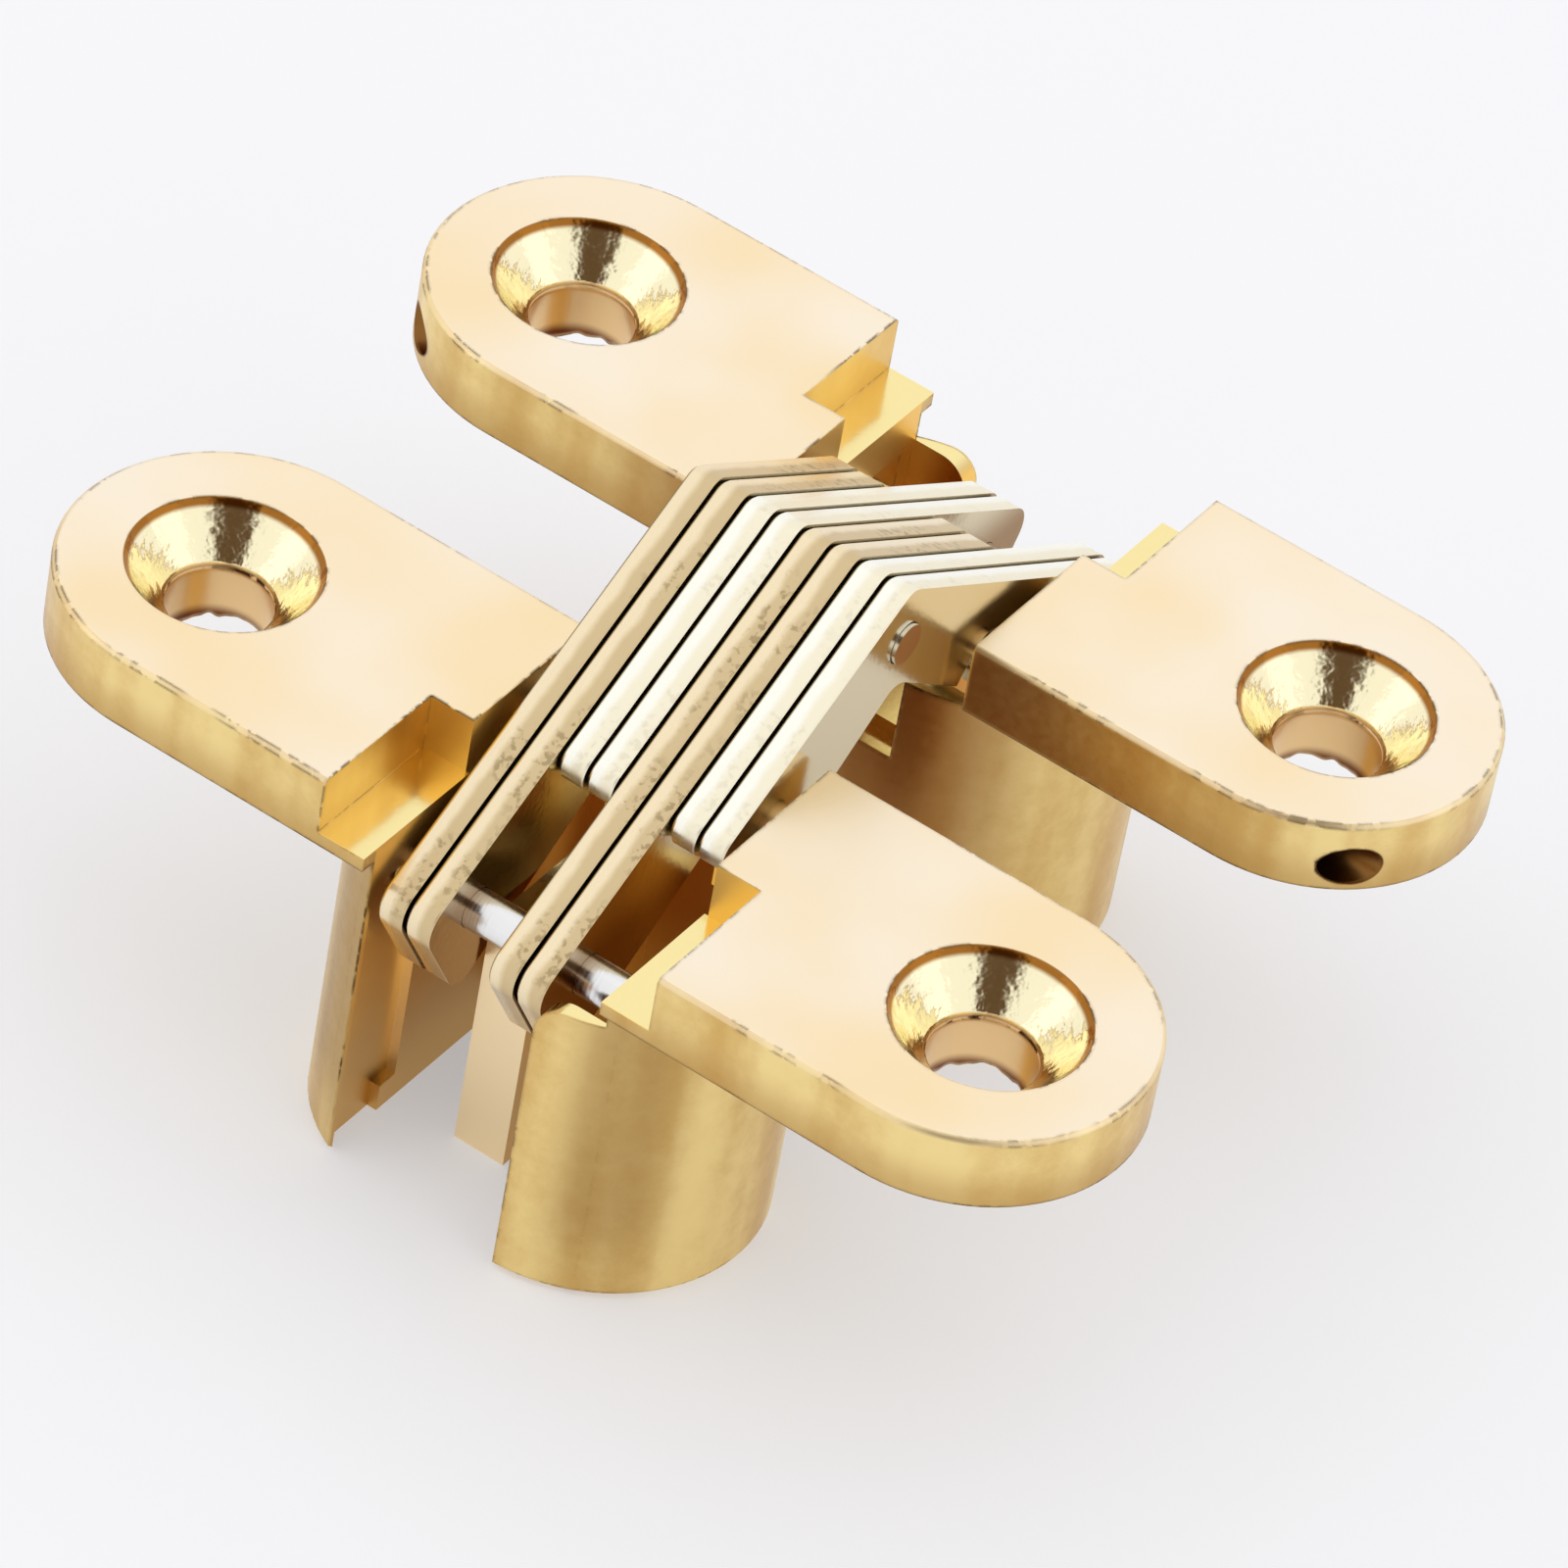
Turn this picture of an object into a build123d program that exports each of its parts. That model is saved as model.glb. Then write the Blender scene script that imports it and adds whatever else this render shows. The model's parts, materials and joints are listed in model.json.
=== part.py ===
"""Invisible cross-link hinge with 13 x 45 mm leaves, open at 180 degrees and standing on its two bosses.

X runs along the hinge, Y from the front leaf to the rear leaf, and Z up from the bottom of the bosses.
The hinge has the same plan after half a turn about Z: the rear leaf is the front leaf turned, and the
links that pivot in it have the turned outline.
"""
import os
from cmath import exp, phase
from math import asin, pi, radians, sqrt

from build123d import *

os.makedirs("parts", exist_ok=True)

# Leaf castings
leaf_length = 45.0
leaf_width = 13.0
plate_thickness = 3.0
body_depth = 17.0
boss_length = 17.6
leaf_gap = 8.8
face_edge_chamfer = 0.15
boss_edge_chamfer = 0.3

# Screw holes in the lobes of each leaf
screw_spacing = 33.0
screw_bore = 4.0
countersink_diameter = 7.2
countersink_angle = 82.0

# Pocket of each leaf: the walls left around it, and notches in the plate above it
end_wall = 3.7
gap_wall = 1.1
outer_wall_at_ends = 0.22
wide_notch_end_wall = 1.7
wide_notch_depth = 2.4
narrow_notch_margin = 0.15
narrow_notch_depth = 3.3
notch_step = 6.9
outer_wall_corner = 1.2
outer_wall_top_depth = 4.1
gap_window_depth = 6.95
rib_top_depth = 6.4
groove_foot = 0.9

# Cross links: eight stampings side by side, in pairs that pivot in one leaf and then in the other
links_per_pair = 2
link_pairs = 4
link_gap = 0.08
link_upper_width = 2.15
link_lower_width = 1.5
link_edge_chamfer = 0.16
ridge_radius = 0.8
inner_corner_radius = 1.0
slide_end_upper_reach = 2.4
slide_end_upper_radius = 1.1
slide_end_lower_reach = 2.3
slide_end_lower_width = 3.1
slide_end_lower_radius = 0.9
pivot_end_flat = 1.65
pivot_end_tip_radius = 0.8
pivot_end_lower_radius = 0.7

# Pins
pivot_pin_diameter = 1.6
slide_pin_diameter = 1.6
centre_pin_diameter = 1.6
pivot_pin_length = 16.0
centre_pin_proud = 0.12
slide_pin_seat = 0.3

# Places of the pins in the open hinge: in from the leaf's edge beside the gap or from the boss's round
# outside at the ends of the slide pin, and below or above the face
pivot_inset = 1.9
pivot_depth = 1.9
centre_rise = 2.7
slide_inset = 2.66
slide_depth = 5.3
closed_face_gap = 2.2

# Clearances
running_clearance = 0.05
seat_clearance = 0.02
stack_side_clearance = 0.3
link_side_clearance = 0.12
window_side_clearance = 0.4
notch_clearance = 0.3
slide_clearance = 0.1

# Places worked out from the driving dimensions
face_z = body_depth
plate_under_z = face_z - plate_thickness
shelf_z = face_z - wide_notch_depth
gap_edge_y = -leaf_gap / 2
leaf_y = gap_edge_y - leaf_width / 2
outer_edge_y = gap_edge_y - leaf_width
step_y = gap_edge_y - notch_step
pocket_length = boss_length - 2 * end_wall
pocket_x = pocket_length / 2
wide_notch_length = boss_length - 2 * wide_notch_end_wall
narrow_notch_length = pocket_length + 2 * narrow_notch_margin

# The stack of links fills the pocket's length, and the pins follow it
link_count = links_per_pair * link_pairs
link_pitch = (pocket_length - 2 * stack_side_clearance) / link_count
link_thickness = link_pitch - link_gap
centre_pin_length = link_pitch * link_count + 2 * centre_pin_proud
slide_pin_length = pocket_length + 2 * slide_pin_seat
stack_left_x = -link_pitch * link_count / 2
pair_width = link_pitch * links_per_pair
groove_depth = slide_pin_seat + slide_clearance


def boss_edge_y(x):
    """The boss's outside away from the gap, which is round past its straight middle."""
    round_x = max(abs(x) - (boss_length - leaf_width) / 2, 0)
    return leaf_y - sqrt((leaf_width / 2) ** 2 - round_x**2)


outer_wall_y = boss_edge_y(pocket_x) + outer_wall_at_ends
slide_y = boss_edge_y(pocket_x + groove_depth) + slide_inset

# The pins as complex numbers y + z i, in the front leaf's frame
pivot = complex(gap_edge_y - pivot_inset, face_z - pivot_depth)
centre = complex(0, face_z + centre_rise)
slide = complex(slide_y, face_z - slide_depth)

# Share of the leaf's half turn that happens at each pivot pin: closing brings the centre pin half the
# closed gap above the face
pivot_reach = abs(centre - pivot)
closed_rise = asin((pivot_depth + closed_face_gap / 2) / pivot_reach)
pivot_share = (pi - closed_rise - phase(centre - pivot)) / pi


def slide_place(turn):
    """Place of the slide pin in the front leaf when the rear leaf has closed by turn (radians)."""
    moved_centre = pivot + (centre - pivot) * exp(1j * pivot_share * turn)
    return moved_centre + (slide - centre) * exp(1j * (1 - pivot_share) * turn)


slide_path = [slide_place(radians(degree)) for degree in range(0, 181, 5)]
slide_room = slide_pin_diameter / 2 + slide_clearance
groove_outer_y = min(place.real for place in slide_path) - slide_room
groove_inner_y = max(place.real for place in slide_path) + slide_room
groove_bottom_z = min(place.imag for place in slide_path) - slide_room
groove_top_z = max(place.imag for place in slide_path) + slide_room


def box_between(low, high, mode):
    """A box from its lowest to its highest corner, added to or cut from the open part."""
    size = [b - a for a, b in zip(low, high)]
    middle = [(a + b) / 2 for a, b in zip(low, high)]
    with Locations(tuple(middle)):
        Box(*size, mode=mode)


def pair_x(pair):
    """Left and right side of one pair of links in the stack."""
    left = stack_left_x + pair * pair_width
    return left, left + pair_width


# Front leaf: a round-ended plate on a round-ended boss, with a pocket for the links right through
front_pivot_pairs = (1, 3)
beyond = leaf_width
window_x = pair_x(2)[1] + link_side_clearance * 2
gap_wall_y = gap_edge_y - gap_wall
rib_top_z = face_z - rib_top_depth
rib_x = pair_x(1)

with BuildPart() as front_leaf:
    with BuildSketch(Plane.XY.offset(plate_under_z)):
        with Locations((0, leaf_y)):
            SlotOverall(leaf_length, leaf_width)
    extrude(amount=plate_thickness)
    with BuildSketch(Plane.XY):
        with Locations((0, leaf_y)):
            SlotOverall(boss_length, leaf_width)
    extrude(amount=plate_under_z)
    chamfer(front_leaf.edges().group_by(Axis.Z)[0], boss_edge_chamfer)
    chamfer(front_leaf.edges().group_by(Axis.Z)[-1], face_edge_chamfer)

    # Pocket, with its outer side open where the long arms of the links swing
    box_between((-pocket_x, outer_wall_y, 0), (pocket_x, gap_wall_y, face_z), Mode.SUBTRACT)
    box_between((-pocket_x, outer_edge_y - beyond, 0), (window_x, outer_wall_y, face_z), Mode.SUBTRACT)

    # Stepped notch in the plate
    wide_x = wide_notch_length / 2
    narrow_x = narrow_notch_length / 2
    box_between((-wide_x, outer_edge_y - beyond, shelf_z), (wide_x, step_y, face_z), Mode.SUBTRACT)
    narrow_z = face_z - narrow_notch_depth
    box_between((-narrow_x, step_y, narrow_z), (narrow_x, gap_edge_y + beyond, face_z), Mode.SUBTRACT)

    # Outer wall, lower than the shelf and rounded beside its open side
    wall_top_z = face_z - outer_wall_top_depth
    box_between((window_x, outer_edge_y - beyond, wall_top_z), (pocket_x, outer_wall_y, face_z), Mode.SUBTRACT)
    with BuildSketch(Plane.XZ.offset(-outer_wall_y)):
        with Locations((window_x + outer_wall_corner / 2, wall_top_z - outer_wall_corner / 2)):
            Rectangle(outer_wall_corner, outer_wall_corner)
        with Locations((window_x + outer_wall_corner, wall_top_z - outer_wall_corner)):
            Circle(outer_wall_corner, mode=Mode.SUBTRACT)
    extrude(amount=beyond, mode=Mode.SUBTRACT)

    # Windows in the wall beside the gap, for the pivoted ends of the short arms
    for pair in front_pivot_pairs:
        left, right = pair_x(pair)
        box_between(
            (left - window_side_clearance, gap_wall_y, face_z - gap_window_depth),
            (min(right + window_side_clearance, pocket_x), gap_edge_y + beyond, face_z),
            Mode.SUBTRACT,
        )

    # Upright rib between the long arms, which backs the slide pin
    box_between(
        (rib_x[0] + link_side_clearance, groove_inner_y, 0),
        (rib_x[1] - link_side_clearance, gap_wall_y, rib_top_z),
        Mode.ADD,
    )

    # Grooves in both end walls of the pocket, for the slide pin: open below but for a small foot
    for side in (-1, 1):
        near, far = sorted((side * pocket_x, side * (pocket_x + groove_depth)))
        foot_y = groove_inner_y - groove_foot
        box_between((near, groove_outer_y, groove_bottom_z), (far, groove_inner_y, groove_top_z), Mode.SUBTRACT)
        box_between((near, groove_outer_y, 0), (far, foot_y, groove_top_z), Mode.SUBTRACT)

    # Bore for the pivot pin, drilled along the leaf through both lobes
    with Locations(Plane((0, pivot.real, pivot.imag), z_dir=(1, 0, 0))):
        Cylinder(pivot_pin_diameter / 2 + seat_clearance, leaf_length, mode=Mode.SUBTRACT)

    # Countersunk screw holes
    with Locations((-screw_spacing / 2, leaf_y, face_z), (screw_spacing / 2, leaf_y, face_z)):
        CounterSinkHole(
            screw_bore / 2, countersink_diameter / 2, depth=plate_thickness, counter_sink_angle=countersink_angle
        )
front_leaf.part.label = "front_leaf"
export_step(front_leaf.part, "parts/front_leaf.step")

with BuildPart() as rear_leaf:
    add(front_leaf.part.rotate(Axis.Z, 180))
rear_leaf.part.label = "rear_leaf"
export_step(rear_leaf.part, "parts/rear_leaf.step")


def unit(direction):
    """Direction of length one."""
    return direction / abs(direction)


def crossing(point_a, along_a, point_b, along_b):
    """Point where two lines meet, each given by a point and a direction."""
    between = point_b - point_a
    turn = (along_a.conjugate() * along_b).imag
    return point_a + along_a * (between.conjugate() * along_b).imag / turn


def link_outline(side):
    """Bent link outline: short arm to its pivot pin, long arm to its slide pin in the other leaf.

    Side 1 pivots in the front leaf, and side -1 is the same outline turned to pivot in the rear leaf.
    """
    far_slide = complex(-slide.real, slide.imag)
    far_pivot = complex(-pivot.real, pivot.imag)
    long_way = unit(far_slide - centre)
    long_up = long_way * 1j
    short_way = unit(pivot - centre)
    short_down = short_way * 1j
    upper_edge = centre + long_up * link_upper_width
    ridge = complex(0, upper_edge.imag - upper_edge.real * long_way.imag / long_way.real)
    roof_way = complex(-long_way.real, long_way.imag)
    slide_end_top = far_slide + long_way * slide_end_upper_reach + long_up * link_upper_width
    slide_end_low = far_slide + long_way * slide_end_lower_reach - long_up * slide_end_lower_width
    lower_long = centre - long_up * link_lower_width
    lower_short = centre + short_down * link_lower_width
    # The pivoted end has a flat that faces the gap when the hinge is closed
    gap_way = exp(-1j * pivot_share * pi)
    flat_line = pivot + gap_way * pivot_end_flat
    corners = (
        (ridge, ridge_radius),
        (slide_end_top, slide_end_upper_radius),
        (slide_end_low, slide_end_lower_radius),
        (crossing(lower_long, slide_end_low - lower_long, lower_short, short_way), inner_corner_radius),
        (crossing(lower_short, short_way, flat_line, gap_way * 1j), pivot_end_lower_radius),
        (crossing(ridge, roof_way, flat_line, gap_way * 1j), pivot_end_tip_radius),
    )
    # Notch for the other leaf's pivot pin, along the pin's way out as the hinge closes
    notch_out = unit(far_pivot - centre) * -1j
    notch_end = far_pivot + notch_out * slide_end_lower_width
    notch_half = (pivot_pin_diameter / 2 + notch_clearance) * unit(far_pivot - centre)

    def flat(place):
        return side * place.real, place.imag

    with BuildSketch(mode=Mode.PRIVATE) as outline:
        with BuildLine():
            Polyline(*[flat(place) for place, radius in corners], close=True)
        make_face()
        for place, radius in corners:
            fillet(outline.vertices().sort_by_distance((*flat(place), 0))[0], radius)
        with BuildLine():
            Polyline(
                flat(far_pivot + notch_half),
                flat(notch_end + notch_half),
                flat(notch_end - notch_half),
                flat(far_pivot - notch_half),
                close=True,
            )
        make_face(mode=Mode.SUBTRACT)
        with Locations(flat(far_pivot)):
            Circle(abs(notch_half), mode=Mode.SUBTRACT)
        bores = (
            (pivot, pivot_pin_diameter, running_clearance),
            (far_slide, slide_pin_diameter, seat_clearance),
            (centre, centre_pin_diameter, running_clearance if side > 0 else seat_clearance),
        )
        for place, diameter, clearance in bores:
            with Locations(flat(place)):
                Circle(diameter / 2 + clearance, mode=Mode.SUBTRACT)
    return outline.sketch


# Links 1 to 8 from the left: pairs pivot in the rear leaf, then in the front leaf, in turn
outlines = {side: link_outline(side) for side in (-1, 1)}
for number in range(link_count):
    side = 1 if number // links_per_pair in front_pivot_pairs else -1
    left_x = stack_left_x + link_pitch * number + link_gap / 2
    with BuildPart() as link:
        with BuildSketch(Plane.YZ.offset(left_x)):
            add(outlines[side])
        extrude(amount=link_thickness)
        # The punch rounds the edge on the left side
        punched = link.faces().filter_by(Axis.X).sort_by(Axis.X)[0]
        chamfer(punched.outer_wire().edges(), link_edge_chamfer)
    link.part.label = f"link_{number + 1}"
    export_step(link.part, f"parts/link_{number + 1}.step")

# Pins: plain steel rods along X
pins = {
    "front_pivot_pin": (pivot, 1, pivot_pin_diameter, pivot_pin_length),
    "rear_pivot_pin": (pivot, -1, pivot_pin_diameter, pivot_pin_length),
    "front_slide_pin": (slide, 1, slide_pin_diameter, slide_pin_length),
    "rear_slide_pin": (slide, -1, slide_pin_diameter, slide_pin_length),
    "centre_pin": (centre, 1, centre_pin_diameter, centre_pin_length),
}
for name, (place, side, diameter, length) in pins.items():
    with BuildPart() as pin:
        with BuildSketch(Plane.YZ.offset(-length / 2)):
            with Locations((side * place.real, place.imag)):
                Circle(diameter / 2)
        extrude(amount=length)
    pin.part.label = name
    export_step(pin.part, f"parts/{name}.step")
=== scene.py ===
import json
from functools import partial
from math import cos, radians, sin

import bpy
import numpy as np
from mathutils import Matrix, Vector


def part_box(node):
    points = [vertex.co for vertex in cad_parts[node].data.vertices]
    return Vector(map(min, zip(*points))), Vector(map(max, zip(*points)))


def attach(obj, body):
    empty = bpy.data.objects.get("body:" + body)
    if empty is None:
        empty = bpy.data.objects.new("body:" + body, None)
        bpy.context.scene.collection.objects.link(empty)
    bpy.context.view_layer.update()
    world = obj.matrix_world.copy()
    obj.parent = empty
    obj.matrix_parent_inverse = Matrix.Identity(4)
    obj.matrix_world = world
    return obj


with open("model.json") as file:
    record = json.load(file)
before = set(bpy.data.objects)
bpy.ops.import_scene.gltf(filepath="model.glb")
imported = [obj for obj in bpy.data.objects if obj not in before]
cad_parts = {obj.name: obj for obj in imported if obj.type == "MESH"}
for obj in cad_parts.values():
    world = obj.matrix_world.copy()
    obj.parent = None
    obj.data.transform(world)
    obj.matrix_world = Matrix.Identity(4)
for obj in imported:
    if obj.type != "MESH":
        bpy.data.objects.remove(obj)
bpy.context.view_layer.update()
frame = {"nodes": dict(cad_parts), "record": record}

# Places on the hinge in millimetres, from the frame. Half a turn maps one leaf onto the other, so places on
# the leaves are given with x and y as distances from the hinge's middle.
MM = 0.001
leaf_low, leaf_high = (np.array(corner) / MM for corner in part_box("front_leaf"))
FACE_Z = leaf_high[2]
LEAF_Y = -(leaf_low[1] + leaf_high[1]) / 2
LEAF_R = (leaf_high[1] - leaf_low[1]) / 2
GAP_Y = -leaf_high[1]
screws = next(mount for mount in frame["record"]["mounts"] if mount["name"] == "front_screws")
HOLE_X = screws["dims"]["spacing_x_mm"] / 2
BORE_R = screws["dims"]["hole_r_mm"]
COUNTERSINK_R = 3.6
BORE_LENGTH = 1.15
PLATE_UNDER_Z = FACE_Z - 3.0
SHELF_Z = FACE_Z - 2.4
WIDE_NOTCH_X, NARROW_NOTCH_X, NOTCH_STEP_Y = 7.1, 5.25, 11.3
BOSS_LINE_X = 2.3
RIB_Y = 12.97
pin_low, pin_high = (np.array(corner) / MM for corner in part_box("rear_pivot_pin"))
PIVOT_Y, PIVOT_Z = (pin_low + pin_high)[1:] / 2
PIVOT_R = (pin_high - pin_low)[1] / 2
link_left = [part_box(name)[0][0] / MM for name in ("link_1", "link_2")]

# Sizes of the patterns in millimetres. The casting's grain and the pin's rings are drawn coarser than the
# real ones, so that they show.
CLOUD, HAZE = 1.1, 9
STREAK_WIDTH, STREAK_LENGTH, STREAK_SHIFT = 2.6, 30, 31
WEAR_RADIUS, WEAR_STRETCH, WEAR_SPECK = 0.2, 3.2, 0.55
CAST_GRAIN, CAST_RIPPLE = 0.3, 0.8
TEAR_MARK, TEAR_STRETCH, TEAR_WANDER = 0.3, 4, 1.4
GRINDING_RING = 0.12


def colour(hex_code):
    """An sRGB hex colour as linear RGBA."""
    channels = np.array([int(hex_code[i:i + 2], 16) for i in (1, 3, 5)]) / 255
    linear = np.where(channels <= 0.04045, channels / 12.92, ((channels + 0.055) / 1.055) ** 2.4)
    return (*linear, 1.0)


def add(tree, kind, fields=None, **sockets):
    """Adds one node, sets its fields, and fills its sockets with values or with links from other nodes.

    A socket is named with _ for a space, or as n0, n1 and so on by its number. A node given as a value is
    linked by its first output in use.
    """
    made = tree.nodes.new("ShaderNode" + kind)
    for field, value in (fields or {}).items():
        setattr(made, field, value)
    for name, value in sockets.items():
        if name[0] == "n" and name[1:].isdigit():
            socket = made.inputs[int(name[1:])]
        else:
            socket = next(s for s in made.inputs if s.enabled and s.name == name.replace("_", " "))
        if isinstance(value, bpy.types.Node):
            value = next(s for s in value.outputs if s.enabled)
        if isinstance(value, bpy.types.NodeSocket):
            tree.links.new(value, socket)
        else:
            socket.default_value = value
    return made


def start(name):
    """A new material, the function that adds nodes to it, and its Object coordinates in millimetres."""
    material = bpy.data.materials.new(name)
    material.use_nodes = True
    material.node_tree.nodes.clear()
    put = partial(add, material.node_tree)
    place = put("TexCoord").outputs["Object"]
    return material, put, put("VectorMath", {"operation": "SCALE"}, n0=place, Scale=1 / MM)


# Fields of the nodes that are used most
SOFT = {"interpolation_type": "SMOOTHSTEP"}
TIMES = {"operation": "MULTIPLY"}
TIMES_PLUS = {"operation": "MULTIPLY_ADD"}
MINUS = {"operation": "SUBTRACT"}
LARGER = {"operation": "MAXIMUM"}
ABSOLUTE = {"operation": "ABSOLUTE"}
LENGTH = {"operation": "LENGTH"}
UNIT = {"operation": "NORMALIZE"}
RGBA = {"data_type": "RGBA"}
VECTOR = {"data_type": "VECTOR"}


def screw_hole(put, half, z):
    """The way from a screw hole's axis, its length, and masks of the countersink, its rim and the bore."""
    from_hole = put("VectorMath", MINUS, n0=half, n1=(HOLE_X, LEAF_Y, 0))
    from_axis = put("VectorMath", TIMES, n0=from_hole, n1=(1, 1, 0))
    reach = put("VectorMath", LENGTH, n0=from_axis)
    bore = put("MapRange", SOFT, Value=reach, From_Min=BORE_R + 0.1, From_Max=BORE_R)
    cone = put("MapRange", SOFT, Value=reach, From_Min=COUNTERSINK_R + 0.03, From_Max=COUNTERSINK_R - 0.03)
    above = put("MapRange", SOFT, Value=z, From_Min=PLATE_UNDER_Z + 0.02, From_Max=PLATE_UNDER_Z + 0.1)
    cone = put("Math", TIMES, n0=cone, n1=above)
    cone = put("MapRange", Value=bore, To_Min=cone, To_Max=0.0)
    rim = put("MapRange", SOFT, Value=reach, From_Min=COUNTERSINK_R - 0.3, From_Max=COUNTERSINK_R - 0.16)
    rim = put("Math", TIMES, n0=rim, n1=cone)
    return from_axis, reach, cone, rim, bore


def pocket_and_rib(put, half, x, y, z, lean_y):
    """Masks of the pocket and of the front of its rib, which looks out of the open side.

    Under the shelf the pocket is all that lies inside the boss's round outside, and above it the two notches.
    """
    past_line = put("VectorMath", MINUS, n0=half, n1=(BOSS_LINE_X, LEAF_Y, 0))
    past_line = put("VectorMath", LARGER, n0=past_line, n1=(0, -LEAF_Y, 0))
    from_line = put("VectorMath", TIMES, n0=past_line, n1=(1, 1, 0))
    boss_reach = put("VectorMath", LENGTH, n0=from_line)
    hollow = put("MapRange", SOFT, Value=boss_reach, From_Min=LEAF_R - 0.03, From_Max=LEAF_R - 0.12)
    in_length = put("MapRange", SOFT, Value=x, From_Min=WIDE_NOTCH_X + 0.05, From_Max=WIDE_NOTCH_X - 0.05)
    hollow = put("Math", TIMES, n0=hollow, n1=in_length)
    past_step = put("MapRange", SOFT, Value=y, From_Min=NOTCH_STEP_Y - 0.1, From_Max=NOTCH_STEP_Y)
    wide = put("Math", TIMES, n0=in_length, n1=past_step)
    narrow = put("MapRange", SOFT, Value=x, From_Min=NARROW_NOTCH_X + 0.1, From_Max=NARROW_NOTCH_X)
    notch = put("Math", LARGER, n0=wide, n1=narrow)
    above_shelf = put("MapRange", SOFT, Value=z, From_Min=SHELF_Z - 0.06, From_Max=SHELF_Z - 0.02)
    pocket = put("MapRange", Value=above_shelf, To_Min=hollow, To_Max=notch)
    below_face = put("MapRange", SOFT, Value=z, From_Min=FACE_Z - 0.02, From_Max=FACE_Z - 0.1)
    pocket = put("Math", TIMES, n0=pocket, n1=below_face)

    outward = put("Math", ABSOLUTE, n0=lean_y)
    rib = put("MapRange", SOFT, Value=outward, From_Min=0.8, From_Max=0.95)
    rib_start = put("MapRange", SOFT, Value=y, From_Min=RIB_Y - 0.1, From_Max=RIB_Y - 0.05)
    rib_end = put("MapRange", SOFT, Value=y, From_Min=RIB_Y + 0.1, From_Max=RIB_Y + 0.05)
    rib = put("Math", TIMES, n0=rib, n1=rib_start)
    rib = put("Math", TIMES, n0=rib, n1=rib_end)
    return pocket, rib


def flank_colour(put, mm, x, y, on_plate):
    """Gold with clouds of deposit and upright streaks, drawn as the casting left its die.

    Near the links, on the sides that face the other leaf, the plate turns brown: a painted shade between the
    leaves.
    """
    clouds = put("TexNoise", Vector=mm, Scale=1 / CLOUD, Detail=6.0, Roughness=0.7)
    per_streak = (1 / STREAK_WIDTH, 1 / STREAK_WIDTH, 1 / STREAK_LENGTH)
    drawn = put("VectorMath", TIMES_PLUS, n0=mm, n1=per_streak, n2=(0, 0, STREAK_SHIFT))
    streaks = put("TexNoise", Vector=drawn, Scale=1.0, Detail=2.0)
    cloudy = put("Math", TIMES_PLUS, n0=clouds, n1=0.35, n2=streaks)
    cloudy = put("MapRange", SOFT, Value=cloudy, From_Min=0.45, From_Max=0.9)
    gold = put("Mix", RGBA, Factor=cloudy, A=colour("#F8DE98"), B=colour("#D9B168"))
    # Painted shade between the leaves: brown on the sides that face the other leaf, near the links
    far_y = put("MapRange", Value=on_plate, To_Min=GAP_Y + 3.5, To_Max=GAP_Y + 0.1)
    near_gap = put("MapRange", SOFT, Value=y, From_Min=far_y, From_Max=GAP_Y + 0.02)
    near_links = put("MapRange", SOFT, Value=x, From_Min=13, From_Max=5, To_Max=0.8)
    painted_gap_shade = put("Math", TIMES, n0=near_gap, n1=near_links)
    return put("Mix", RGBA, Factor=painted_gap_shade, A=gold, B=colour("#98602A"))


def darker_places_and_painted_shade(put, x, y, z, up, on_plate):
    """Masks of the darker places outside.

    They are the plate's sides, darker towards the underside; a painted shadow in the corner under the plate,
    where the boss comes out of it; and a painted reflection of the dark side of the room, a stripe down the
    boss that is fainter at its foot.
    """
    low = put("MapRange", SOFT, Value=z, From_Min=FACE_Z - 0.9, From_Max=PLATE_UNDER_Z, To_Max=0.6)
    low = put("Math", TIMES, n0=low, n1=on_plate)

    # Painted shadow in the corner under the plate, on the upright sides
    painted_corner_shadow = put("MapRange", SOFT, Value=z, From_Min=PLATE_UNDER_Z - 0.6, From_Max=PLATE_UNDER_Z - 0.15)
    corner_shadow_top = put("MapRange", SOFT, Value=z, From_Min=PLATE_UNDER_Z + 0.06, From_Max=PLATE_UNDER_Z - 0.02)
    painted_corner_shadow = put("Math", TIMES, n0=painted_corner_shadow, n1=corner_shadow_top)
    tilt = put("Math", ABSOLUTE, n0=up)
    standing = put("MapRange", SOFT, Value=tilt, From_Min=0.6, From_Max=0.3)
    painted_corner_shadow = put("Math", TIMES, n0=painted_corner_shadow, n1=standing)

    # Painted reflection of the dark side of the room: a darker stripe down the boss
    painted_boss_reflection = put("MapRange", SOFT, Value=x, From_Min=3.4, From_Max=5.4)
    reflection_end = put("MapRange", SOFT, Value=x, From_Min=8.2, From_Max=6.6)
    outer = put("MapRange", SOFT, Value=y, From_Min=LEAF_Y + 1, From_Max=LEAF_Y + 4, To_Max=0.6)
    reflection_foot = put("MapRange", SOFT, Value=z, From_Min=0.5, From_Max=4.5, To_Min=0.35)
    for limit in (reflection_end, outer, reflection_foot):
        painted_boss_reflection = put("Math", TIMES, n0=painted_boss_reflection, n1=limit)
    painted_boss_reflection = put("MapRange", Value=on_plate, To_Min=painted_boss_reflection, To_Max=0.0)
    return low, painted_corner_shadow, painted_boss_reflection


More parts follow.
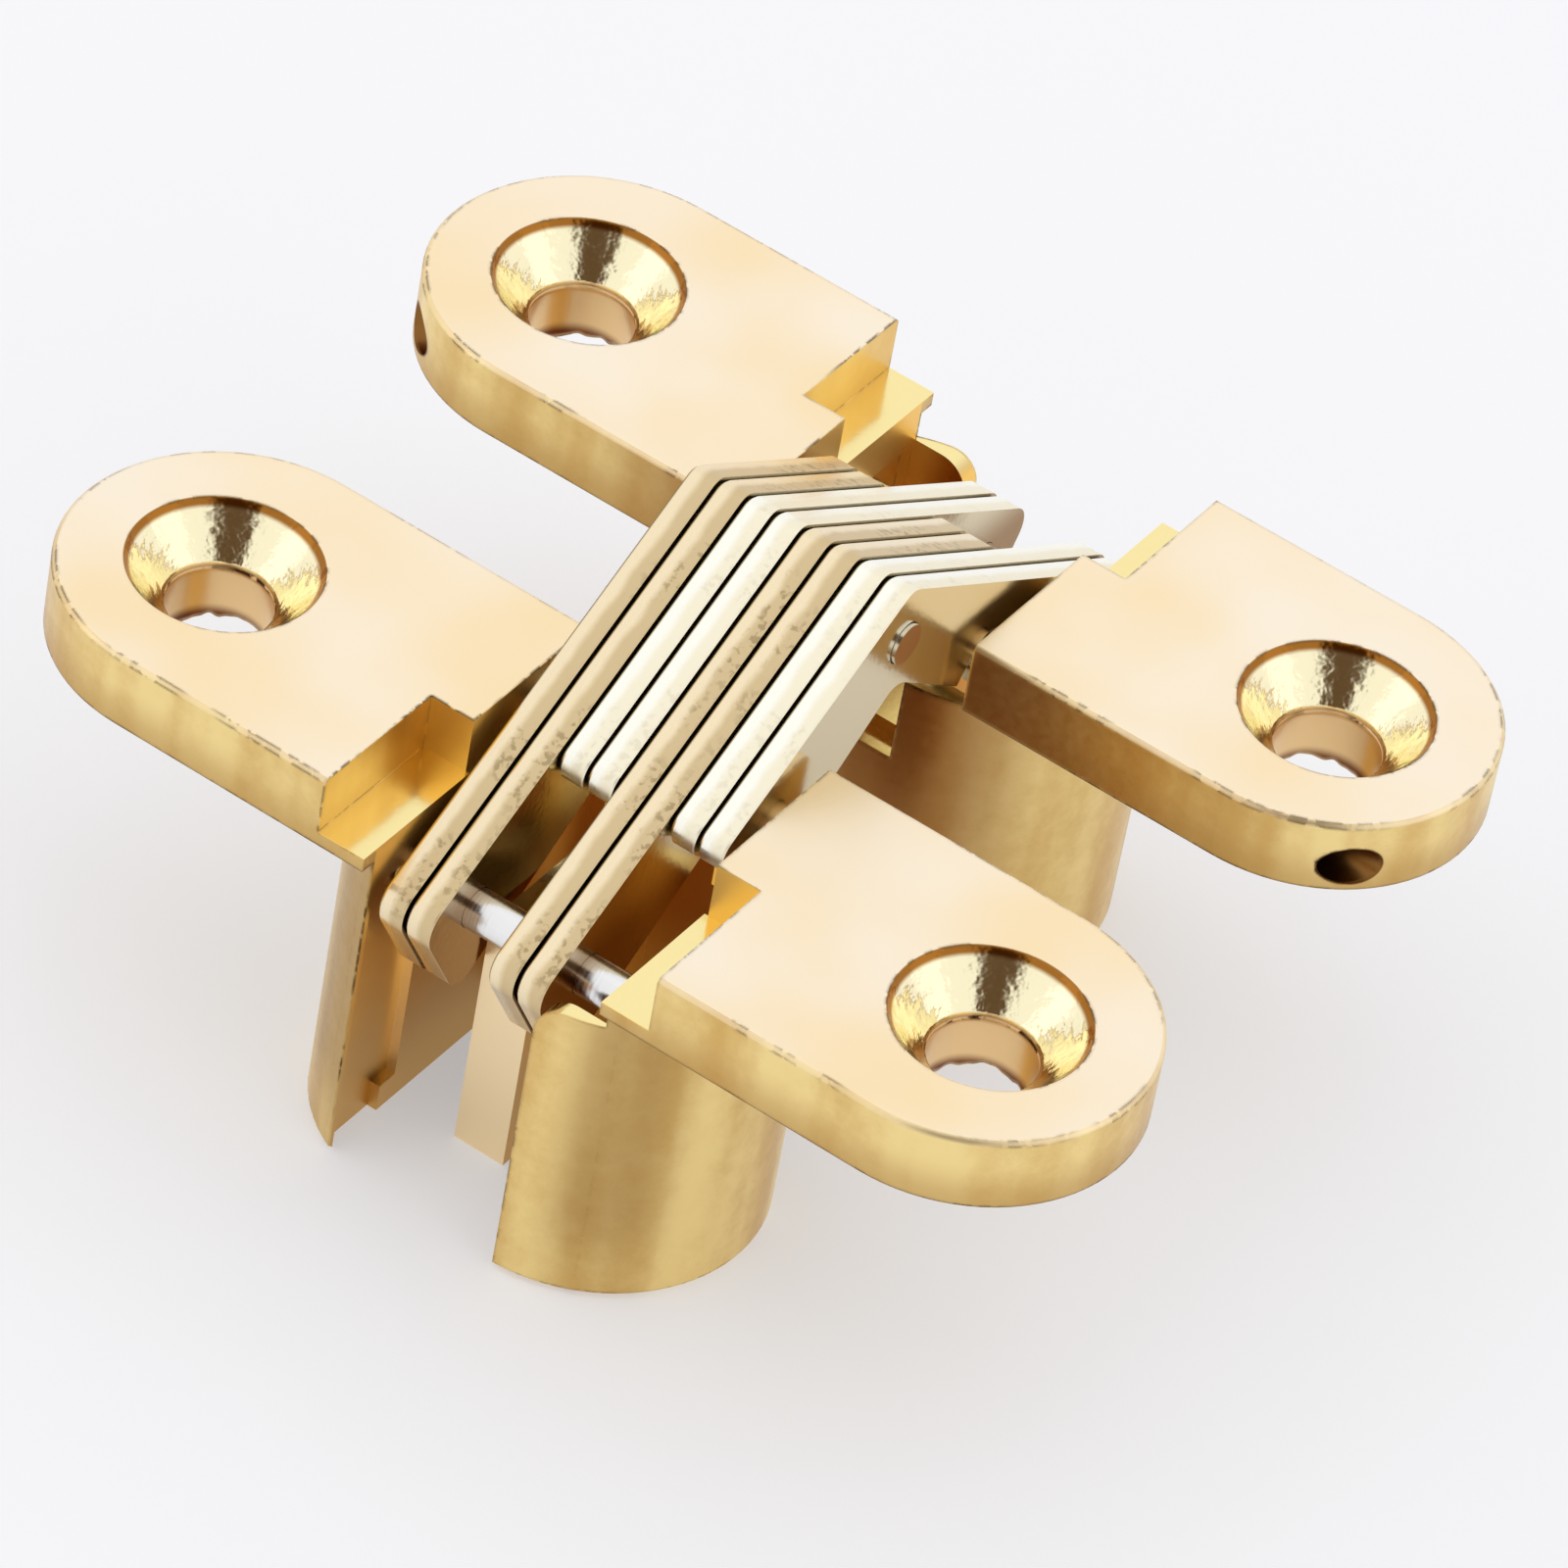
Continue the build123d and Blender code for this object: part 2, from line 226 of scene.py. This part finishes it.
def pocket_colour(put, x, z, lean_x):
    """The pocket's colour and the mask of its amber part, which is a painted highlight.

    Long walls are brown; end walls and corners get the painted amber highlight. Brown walls are darker below
    with painted shade, and all walls are paler at the foot with painted light.
    """
    endwise = put("Math", ABSOLUTE, n0=lean_x)
    end_wall = put("MapRange", SOFT, Value=endwise, From_Min=0.5, From_Max=0.9)
    corner = put("MapRange", SOFT, Value=x, From_Min=3.0, From_Max=4.8)
    # Painted highlight: amber on the end walls and the corners
    amber = put("Math", LARGER, n0=end_wall, n1=corner)
    # Painted shade: the brown walls darken lower in the pocket
    depth = put("MapRange", SOFT, Value=z, From_Min=SHELF_Z, From_Max=SHELF_Z - 5)
    painted_depth_shade = put("MapRange", Value=amber, To_Min=depth, To_Max=0.0)
    # Painted light: the walls turn paler towards the open foot
    foot = put("MapRange", SOFT, Value=z, From_Min=SHELF_Z - 6, From_Max=SHELF_Z - 12)
    wall = put("Mix", RGBA, Factor=amber, A=colour("#B4742E"), B=colour("#FFD070"))
    wall = put("Mix", RGBA, Factor=painted_depth_shade, A=wall, B=colour("#A0672C"))
    return put("Mix", RGBA, Factor=foot, A=wall, B=colour("#D9AC62")), amber


def edge_wear(put, mm, normal):
    """The normal with rounded edges, and a mask of worn specks where it leaves the flat one."""
    rounded = put("Bevel", {"samples": 4}, Radius=WEAR_RADIUS * MM)
    lean = put("VectorMath", MINUS, n0=rounded, n1=normal)
    lean = put("VectorMath", LENGTH, n0=lean)
    edge = put("MapRange", SOFT, Value=lean, From_Min=0.2, From_Max=0.45)
    stretches = put("TexNoise", Vector=mm, Scale=1 / WEAR_STRETCH, Detail=2.0)
    worn_here = put("MapRange", SOFT, Value=stretches, From_Min=0.42, From_Max=0.53)
    specks = put("TexNoise", Vector=mm, Scale=1 / WEAR_SPECK, Detail=3.0)
    speck = put("MapRange", SOFT, Value=specks, From_Min=0.44, From_Max=0.52)
    worn = put("Math", TIMES, n0=worn_here, n1=speck)
    return rounded, put("Math", TIMES, n0=worn, n1=edge)


def brass_plate():
    """Polished brass plate on a zinc die casting.

    The eye sees pale peach ground faces, pale partly from a painted highlight, deeper satin gold on the cast
    flanks, mirror-bright countersinks turned with a cutter, amber pockets with painted shade and painted
    amber highlights, and brown chips where the plate has worn off the edges.
    """
    material, put, mm = start("brass_plated_zinc_die_casting")
    half = put("VectorMath", ABSOLUTE, n0=mm)
    x, y, z = put("SeparateXYZ", Vector=half).outputs
    normal = put("NewGeometry").outputs["Normal"]
    lean_x, lean_y, up = put("SeparateXYZ", Vector=normal).outputs

    # Where things are
    high = put("MapRange", SOFT, Value=z, From_Min=FACE_Z - 0.3, From_Max=FACE_Z - 0.1)
    level = put("MapRange", SOFT, Value=up, From_Min=0.5, From_Max=0.95)
    face = put("Math", TIMES, n0=high, n1=level)
    on_plate = put("MapRange", SOFT, Value=z, From_Min=PLATE_UNDER_Z - 0.1, From_Max=PLATE_UNDER_Z)
    from_axis, reach, cone, rim, bore = screw_hole(put, half, z)
    pocket, rib = pocket_and_rib(put, half, x, y, z, lean_y)
    shelf = put("Math", TIMES, n0=pocket, n1=level)
    low, painted_corner_shadow, painted_boss_reflection = darker_places_and_painted_shade(put, x, y, z, up, on_plate)
    # The flash under a screw hole is darker towards its ragged rim
    flash = put("MapRange", SOFT, Value=z, From_Min=PLATE_UNDER_Z - 0.55, From_Max=PLATE_UNDER_Z - 1.15)
    flash = put("Math", TIMES, n0=flash, n1=bore)
    # Painted shade: the pivot pin's bore is dark inside
    from_pin = put("VectorMath", MINUS, n0=half, n1=(0, PIVOT_Y, PIVOT_Z))
    from_pin = put("VectorMath", TIMES, n0=from_pin, n1=(0, 1, 1))
    from_pin = put("VectorMath", LENGTH, n0=from_pin)
    painted_pin_bore_shade = put("MapRange", SOFT, Value=from_pin, From_Min=PIVOT_R + 0.08, From_Max=PIVOT_R + 0.04)
    rounded, worn = edge_wear(put, mm, normal)
    worn = put("MapRange", Value=pocket, To_Min=worn, To_Max=0.0)

    # Tones, each laid over the ones before it; the face has a faint haze, and its pale peach is partly its
    # ground finish and partly a painted highlight
    haze = put("TexNoise", Vector=mm, Scale=1 / HAZE, Detail=2.0)
    hazy = put("MapRange", SOFT, Value=haze, From_Min=0.2, From_Max=0.8)
    peach = put("Mix", RGBA, Factor=hazy, A=colour("#FFF3DE"), B=colour("#FEE5B6"))
    wall, amber = pocket_colour(put, x, z, lean_x)
    tone = put("Mix", RGBA, Factor=face, A=flank_colour(put, mm, x, y, on_plate), B=peach)
    # Painted light among these: the shadow under the plate, the dark reflection down the boss, the shade and
    # amber highlights in the pocket, and the shade in the pin's bore
    for mask, over in (
        (low, colour("#B98D4C")),
        (painted_corner_shadow, colour("#7A5A2C")),
        (painted_boss_reflection, colour("#A07A42")),
        (pocket, wall),
        (rib, colour("#FFE8BC")),
        (shelf, colour("#FDEBA8")),
        (cone, colour("#FFF5CC")),
        (rim, colour("#A56C2A")),
        (bore, colour("#EBC690")),
        (flash, colour("#6E3216")),
        (painted_pin_bore_shade, colour("#8A6030")),
        (worn, colour("#4E331A")),
    ):
        tone = put("Mix", RGBA, Factor=mask, A=tone, B=over)

    # Sheen: cast flanks are satin, the ground face is softer, the turned countersink is nearly a mirror
    grain = put("TexNoise", Vector=mm, Scale=1 / CAST_GRAIN, Detail=3.0)
    rough = put("MapRange", Value=grain, From_Min=0.3, From_Max=0.7, To_Min=0.28, To_Max=0.36)
    amber_wall = put("Math", TIMES, n0=amber, n1=pocket)
    for mask, over in (
        (face, 0.34),
        (pocket, 0.26),
        (amber_wall, 0.4),
        (shelf, 0.15),
        (cone, 0.14),
        (bore, 0.3),
        (worn, 0.6),
    ):
        rough = put("MapRange", Value=mask, To_Min=rough, To_Max=over)

    # Relief: rounded edges outside the pocket, ripples of the casting, and the chatter of the countersink's
    # cutter, which changes with the angle around the hole and with the distance from it
    smooth = put("Mix", VECTOR, Factor=pocket, A=rounded, B=normal)
    ripple = put("TexNoise", Vector=mm, Scale=1 / CAST_RIPPLE, Detail=2.0)
    relief = put("Bump", Strength=0.3, Distance=0.02 * MM, Height=ripple, Normal=smooth)
    around = put("VectorMath", UNIT, n0=from_axis)
    lifted = put("CombineXYZ", Z=reach)
    cut_place = put("VectorMath", TIMES_PLUS, n0=around, n1=(1.5, 1.5, 1.5), n2=lifted)
    chatter = put("TexNoise", Vector=cut_place, Scale=3.2, Detail=2.0)
    chatter = put("Math", TIMES, n0=chatter, n1=cone)
    relief = put("Bump", Strength=0.5, Distance=0.1 * MM, Height=chatter, Normal=relief)
    relief = put("Bump", Strength=0.13, Distance=0.02 * MM, Height=grain, Normal=relief)
    shader = put("BsdfPrincipled", Base_Color=tone, Metallic=1.0, Roughness=rough, Normal=relief)
    put("OutputMaterial", Surface=shader)
    return material


def link_plate(name, bright, dull, speckle):
    """Champagne plate on stamped steel.

    The eye sees two bands along each cut edge: a burnished one on the left, nearly white, and the torn one
    on the right, tan and speckled. The flat sides are an even greyish champagne.
    """
    material, put, mm = start(name)
    place = put("SeparateXYZ", Vector=mm).outputs
    normal = put("NewGeometry").outputs["Normal"]
    side = put("SeparateXYZ", Vector=normal).outputs["X"]
    facing = put("Math", ABSOLUTE, n0=side)
    on_side = put("MapRange", SOFT, Value=facing, From_Min=0.75, From_Max=0.95)
    # How far across its own link a point lies, from 0 at the left to 1
    first, second = link_left
    links_in = put("MapRange", {"clamp": False}, Value=place["X"], From_Min=first, From_Max=second)
    across = put("Math", {"operation": "FRACT"}, n0=links_in)
    wander = put("TexNoise", Vector=mm, Scale=1 / TEAR_WANDER, Detail=3.0)
    shifted = put("Math", TIMES_PLUS, n0=wander, n1=0.3, n2=across)
    torn = put("MapRange", SOFT, Value=shifted, From_Min=0.48, From_Max=0.76)
    # Tear marks, in stretches of a few millimetres
    marks = put("TexNoise", Vector=mm, Scale=1 / TEAR_MARK, Detail=2.0)
    mark = put("MapRange", SOFT, Value=marks, From_Min=0.5, From_Max=0.64, To_Max=speckle)
    stretches = put("TexNoise", Vector=mm, Scale=1 / TEAR_STRETCH, Detail=1.0)
    stretch = put("MapRange", SOFT, Value=stretches, From_Min=0.48, From_Max=0.62)
    mark = put("Math", TIMES, n0=mark, n1=stretch)
    mark = put("Math", TIMES, n0=mark, n1=torn)
    cut = put("Mix", RGBA, Factor=torn, A=colour(bright), B=colour(dull))
    cut = put("Mix", RGBA, Factor=mark, A=cut, B=colour("#7E6840"))
    # Painted shade along the gap between two links
    painted_link_gap_shade = put("MapRange", SOFT, Value=across, From_Min=0.1, From_Max=0.0)
    cut = put("Mix", RGBA, Factor=painted_link_gap_shade, A=cut, B=colour("#6E5C34"))
    # The sides get a painted shade where they reach down into the pocket
    painted_pocket_shade = put("MapRange", SOFT, Value=place["Z"], From_Min=FACE_Z - 2, From_Max=FACE_Z - 5)
    flat = put("Mix", RGBA, Factor=painted_pocket_shade, A=colour("#DDCFAC"), B=colour("#96703C"))
    tone = put("Mix", RGBA, Factor=on_side, A=cut, B=flat)
    rough = put("MapRange", Value=torn, To_Min=0.26, To_Max=0.38)
    rough = put("MapRange", Value=on_side, To_Min=rough, To_Max=0.18)
    # The chamfer is rolled into the cut edge, and the other corner is a little rounded
    flatter = put("VectorMath", TIMES, n0=normal, n1=(0.4, 1, 1))
    rolled = put("VectorMath", UNIT, n0=flatter)
    rolled = put("Mix", VECTOR, Factor=on_side, A=rolled, B=normal)
    fall = put("MapRange", SOFT, Value=across, From_Min=0.93, From_Max=0.85)
    relief = put("Bump", Strength=0.4, Distance=0.04 * MM, Height=fall, Normal=rolled)
    relief = put("Bump", Strength=0.25, Distance=0.02 * MM, Height=marks, Normal=relief)
    shader = put("BsdfPrincipled", Base_Color=tone, Metallic=1.0, Roughness=rough, Normal=relief)
    put("OutputMaterial", Surface=shader)
    return material


def pin_steel():
    """Bright ground steel.

    The eye sees fine rings around the rod, left by centreless grinding, and browner sheared ends.
    """
    material, put, mm = start("bright_ground_steel_rod")
    along = put("SeparateXYZ", Vector=mm).outputs["X"]
    rings = put("TexNoise", {"noise_dimensions": "1D"}, W=along, Scale=1 / GRINDING_RING, Detail=1.0)
    rough = put("MapRange", Value=rings, From_Min=0.3, From_Max=0.7, To_Min=0.14, To_Max=0.24)
    relief = put("Bump", Strength=0.1, Distance=0.01 * MM, Height=rings)
    lean = put("SeparateXYZ", Vector=put("NewGeometry").outputs["Normal"]).outputs["X"]
    facing = put("Math", ABSOLUTE, n0=lean)
    end = put("MapRange", SOFT, Value=facing, From_Min=0.8, From_Max=0.95)
    tone = put("Mix", RGBA, Factor=end, A=colour("#EFEFEE"), B=colour("#CDA890"))
    shader = put("BsdfPrincipled", Base_Color=tone, Metallic=1.0, Roughness=rough, Normal=relief)
    put("OutputMaterial", Surface=shader)
    return material


brass = brass_plate()
rear_link = link_plate("champagne_plated_stamped_steel_tumbled", "#F5E3BE", "#D8C195", 0.5)
front_link = link_plate("champagne_plated_stamped_steel_bright", "#FFFDF0", "#F8F0D6", 0.12)
steel = pin_steel()
rear_links = ("link_1", "link_2", "link_5", "link_6")
for part in frame["record"]["subparts"]:
    node = part["node"]
    link = rear_link if node in rear_links else front_link
    finish = {"plated_zinc": brass, "link_steel": link, "pin_steel": steel}[part["material_slot"]]
    mesh = frame["nodes"][node].data
    mesh.materials.clear()
    mesh.materials.append(finish)

# The collar of flash under a screw hole: its mean length, how much of that the rim wanders, the points around
# it, and its profile. Each row of the profile is a point: its distance out of the bore, its height over the
# plate's underside, and the share of the length by which it hangs down.
FLASH_LENGTH, FLASH_WANDER, FLASH_POINTS = 1.25, 0.3, 120
FLASH_PROFILE = np.array((
    (-0.02, BORE_LENGTH, 0.0),
    (-0.02, 0.0, 0.0),
    (0.0, 0.0, 0.8),
    (0.07, 0.0, 1.0),
    (0.2, 0.0, 0.96),
    (0.32, 0.0, 0.5),
    (0.5, 0.05, 0.0),
))


def hole_flash(name, hole_x, hole_y, seed):
    """The ragged collar of flash that the casting has under a screw hole.

    A thin closed profile, down the bore's wall to a rim and back up outside, is carried around the hole. Its
    length is a mean plus a few cosines of the angle with chance phases, so that the rim is ragged.
    """
    chance = np.random.default_rng(seed)
    angle = np.linspace(0, 2 * np.pi, FLASH_POINTS, endpoint=False)[:, None]
    waves = np.arange(3, 28, 4)
    heights = np.cos(waves * angle + chance.uniform(0, 2 * np.pi, waves.size)) / waves
    length = FLASH_LENGTH * (1 + FLASH_WANDER * heights.sum(axis=1, keepdims=True))
    out, level, share = FLASH_PROFILE.T
    z = PLATE_UNDER_Z + level - share * length
    radius = BORE_R + out
    points = np.stack((hole_x + radius * np.cos(angle), hole_y + radius * np.sin(angle), z), axis=2) * MM
    around, along = np.meshgrid(np.arange(angle.size), np.arange(level.size), indexing="ij")
    next_around, next_along = (around + 1) % angle.size, (along + 1) % level.size
    corners = ((around, along), (next_around, along), (next_around, next_along), (around, next_along))
    quads = np.stack([a * level.size + b for a, b in corners], axis=2).reshape(-1, 4)
    mesh = bpy.data.meshes.new(name)
    mesh.from_pydata(points.reshape(-1, 3), [], quads)
    mesh.materials.append(brass)
    flash = bpy.data.objects.new(name, mesh)
    bpy.context.scene.collection.objects.link(flash)
    return flash


for leaf, hole, hole_x, hole_y, seed in (
    ("front_leaf", "left", -HOLE_X, -LEAF_Y, 15),
    ("front_leaf", "right", HOLE_X, -LEAF_Y, 16),
    ("rear_leaf", "left", -HOLE_X, LEAF_Y, 17),
    ("rear_leaf", "right", HOLE_X, LEAF_Y, 18),
):
    flash = hole_flash(f"{leaf}_{hole}_hole_flash", hole_x, hole_y, seed)
    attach(flash, leaf)

# Camera at the photograph's angle, turned a little about its own line of sight
AZIMUTH, ELEVATION, ROLL = radians(28.057), radians(41.605), radians(10.954)
FOCAL_PIXELS, IMAGE_PIXELS = 11020.9, 1600
TARGET = Vector((4.513, -6.297, FACE_Z)) * MM
DISTANCE = 374.425 * MM
back = Vector((sin(AZIMUTH) * cos(ELEVATION), -cos(AZIMUTH) * cos(ELEVATION), sin(ELEVATION)))
level = Vector((cos(AZIMUTH), sin(AZIMUTH), 0))
upright = back.cross(level)
right = cos(ROLL) * level + sin(ROLL) * upright
up = cos(ROLL) * upright - sin(ROLL) * level
camera = bpy.data.objects.new("camera", bpy.data.cameras.new("camera"))
camera.data.sensor_width = 36
camera.data.lens = FOCAL_PIXELS / IMAGE_PIXELS * camera.data.sensor_width
camera.data.clip_start = 0.01
axes = Matrix((right, up, back)).transposed().to_4x4()
camera.matrix_world = Matrix.Translation(TARGET + back * DISTANCE) @ axes
bpy.context.scene.collection.objects.link(camera)
bpy.context.scene.camera = camera


def floor_sheet(half_width):
    """A flat square at z = 0, as a grid of two by two points."""
    u, v = np.meshgrid((-1, 1), (-1, 1))
    points = np.stack((u.ravel() * half_width, v.ravel() * half_width, np.zeros(4)), axis=1)
    mesh = bpy.data.meshes.new("floor")
    mesh.from_pydata(points, [], [(0, 1, 3, 2)])
    floor = bpy.data.objects.new("floor", mesh)
    bpy.context.scene.collection.objects.link(floor)
    return floor


def paper_sweep(glow_share):
    """White paper: matt where it lights the hinge, and partly lit from within where it is looked at."""
    material = bpy.data.materials.new("white_paper_sweep")
    material.use_nodes = True
    material.node_tree.nodes.clear()
    put = partial(add, material.node_tree)
    seen = put("LightPath").outputs
    looked_at = put("Math", LARGER, n0=seen["Is Camera Ray"], n1=seen["Is Glossy Ray"])
    looked_at = put("Math", LARGER, n0=looked_at, n1=seen["Is Transmission Ray"])
    share = put("MapRange", Value=looked_at, To_Max=glow_share)
    matt = put("BsdfDiffuse", Color=colour("#FAFBFF"))
    glow = put("Emission", Color=colour("#FFFFFF"))
    shader = put("MixShader", n0=share, n1=matt, n2=glow)
    put("OutputMaterial", Surface=shader)
    return material


floor = floor_sheet(half_width=3.0)
floor.data.materials.append(paper_sweep(glow_share=0.4))

# Pale studio all round, with a dark part of the room on the side that the camera stands on. The limits are
# cosines of the angle from the line of sight.
DARK_START, DARK_FULL = 0.89, 0.975
world = bpy.data.worlds.new("studio")
bpy.context.scene.world = world
world.use_nodes = True
world.node_tree.nodes.clear()
put = partial(add, world.node_tree)
toward = put("VectorMath", {"operation": "DOT_PRODUCT"}, n0=put("TexCoord").outputs["Generated"], n1=back)
dark = put("MapRange", SOFT, Value=toward, From_Min=DARK_START, From_Max=DARK_FULL)
hue = put("Mix", RGBA, Factor=dark, A=colour("#FCFCFE"), B=colour("#5C452F"))
put("OutputWorld", Surface=put("Background", Color=hue, Strength=1.0))


def softbox(name, azimuth, elevation, distance, size, power):
    """A square lamp that looks at the middle of the hinge, with its angles in degrees."""
    lamp = bpy.data.lights.new(name, "AREA")
    lamp.size = size
    lamp.energy = power
    made = bpy.data.objects.new(name, lamp)
    a, e = radians(azimuth), radians(elevation)
    away = Vector((sin(a) * cos(e), -cos(a) * cos(e), sin(e)))
    turn = away.to_track_quat("Z", "Y").to_matrix().to_4x4()
    made.matrix_world = Matrix.Translation(away * distance) @ turn
    bpy.context.scene.collection.objects.link(made)


softbox("top_softbox", azimuth=0, elevation=85, distance=0.6, size=0.4, power=0.08)
softbox("left_softbox", azimuth=-56, elevation=32, distance=0.6, size=0.3, power=0.08)
softbox("right_softbox", azimuth=112, elevation=32, distance=0.6, size=0.3, power=0.06)

bpy.context.scene.view_settings.view_transform = "Standard"
